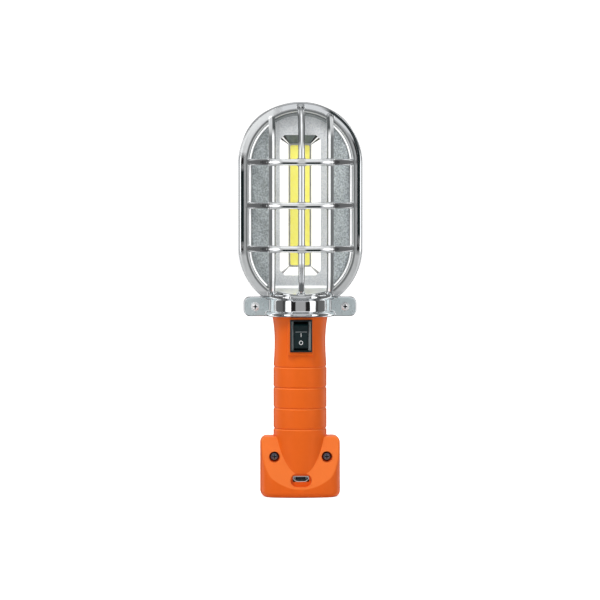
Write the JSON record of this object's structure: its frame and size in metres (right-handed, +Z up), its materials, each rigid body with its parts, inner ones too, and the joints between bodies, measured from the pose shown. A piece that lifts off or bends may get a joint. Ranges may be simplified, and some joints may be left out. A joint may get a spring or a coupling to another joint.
{
  "type": "work light",
  "caption": "Upright hand-held work light: chromed cage over a grained reflector and LED strip, ringed plastic handle with rocker switch, charging port and flared magnetic foot.",
  "frame": {"origin": "centre of the foot's flat underside, with the lamp standing upright", "axes": "+Z up along the handle and head, -Y the way the light faces, +X to the right of someone who looks at the light"},
  "size_m": [0.0576, 0.0405, 0.1832],
  "materials": {
    "chrome_plate": "bright chrome plating",
    "reflector_metal": "grained wings and a mirror funnel",
    "aluminium_plate": "satin",
    "phosphor": "matt yellow silicone",
    "screw_steel": "bright zinc",
    "screw_black": "black oxide",
    "orange_plastic": "satin moulded",
    "black_plastic": "satin moulded",
    "brass_contact": "bright",
    "spring_steel": "bright",
    "cell_sleeve": "shrink sleeve",
    "nickel_strip": "satin nickel",
    "circuit_board": "solder mask",
    "chip_black": "moulded epoxy",
    "socket_steel": "tin plate",
    "magnet_nickel": "nickel plate",
    "hook_steel": "bright zinc plate",
    "wire_red": "soft plastic sheath",
    "wire_black": "soft plastic sheath"
  },
  "bodies": {
    "housing": {"front_guard": "chrome_plate", "rear_shell": "chrome_plate", "reflector": "reflector_metal", "cob_board": "aluminium_plate", "cob_phosphor": "phosphor", "heat_plate": "aluminium_plate", "plate_screws": "screw_steel", "ear_screws": "screw_steel", "ear_nuts": "screw_steel", "handle_front": "orange_plastic", "handle_rear": "orange_plastic", "foot_screws": "screw_black", "switch_housing": "black_plastic", "switch_terminals": "brass_contact", "battery_cell": "cell_sleeve", "cell_tab_top": "nickel_strip", "cell_tab_bottom": "nickel_strip", "charge_board": "circuit_board", "charge_parts": "chip_black", "usb_socket": "socket_steel", "usb_tongue": "black_plastic", "magnet": "magnet_nickel", "magnet_cup": "magnet_nickel", "swivel_rivet": "screw_steel", "wire_cell_plus": "wire_red", "wire_cell_minus": "wire_black", "wire_switch_feed": "wire_red", "wire_lamp_plus": "wire_red", "wire_lamp_minus": "wire_black"},
    "rocker": {"switch_rocker": "black_plastic", "switch_plunger": "brass_contact", "plunger_spring": "spring_steel"},
    "blade": {"contact_blade": "brass_contact"},
    "swivel": {"hook_plate": "hook_steel", "hook_pin": "screw_steel"},
    "hook": {"hook": "hook_steel"}
  },
  "joints": [
    {"name": "rocker_tilt", "type": "hinge", "parent": "housing", "child": "rocker", "pos_m": [0, -0.0108, 0.0751], "axis": [-1, 0, 0], "range_deg": [0, 18]},
    {"name": "contact_tilt", "type": "hinge", "parent": "housing", "child": "blade", "pos_m": [0, -0.0041, 0.0751], "axis": [-1, 0, 0], "range_deg": [-14, 0]},
    {"name": "hook_swivel", "type": "hinge", "parent": "housing", "child": "swivel", "pos_m": [0, 0.014, 0.1651], "axis": [0, 1, 0], "continuous": true},
    {"name": "hook_fold", "type": "hinge", "parent": "swivel", "child": "hook", "pos_m": [0, 0.0178, 0.1703], "axis": [1, 0, 0], "range_deg": [0, 180]}
  ],
  "couplings": [
    {"joint": "contact_tilt", "follows": "rocker_tilt", "ratio": -0.7778}
  ]
}
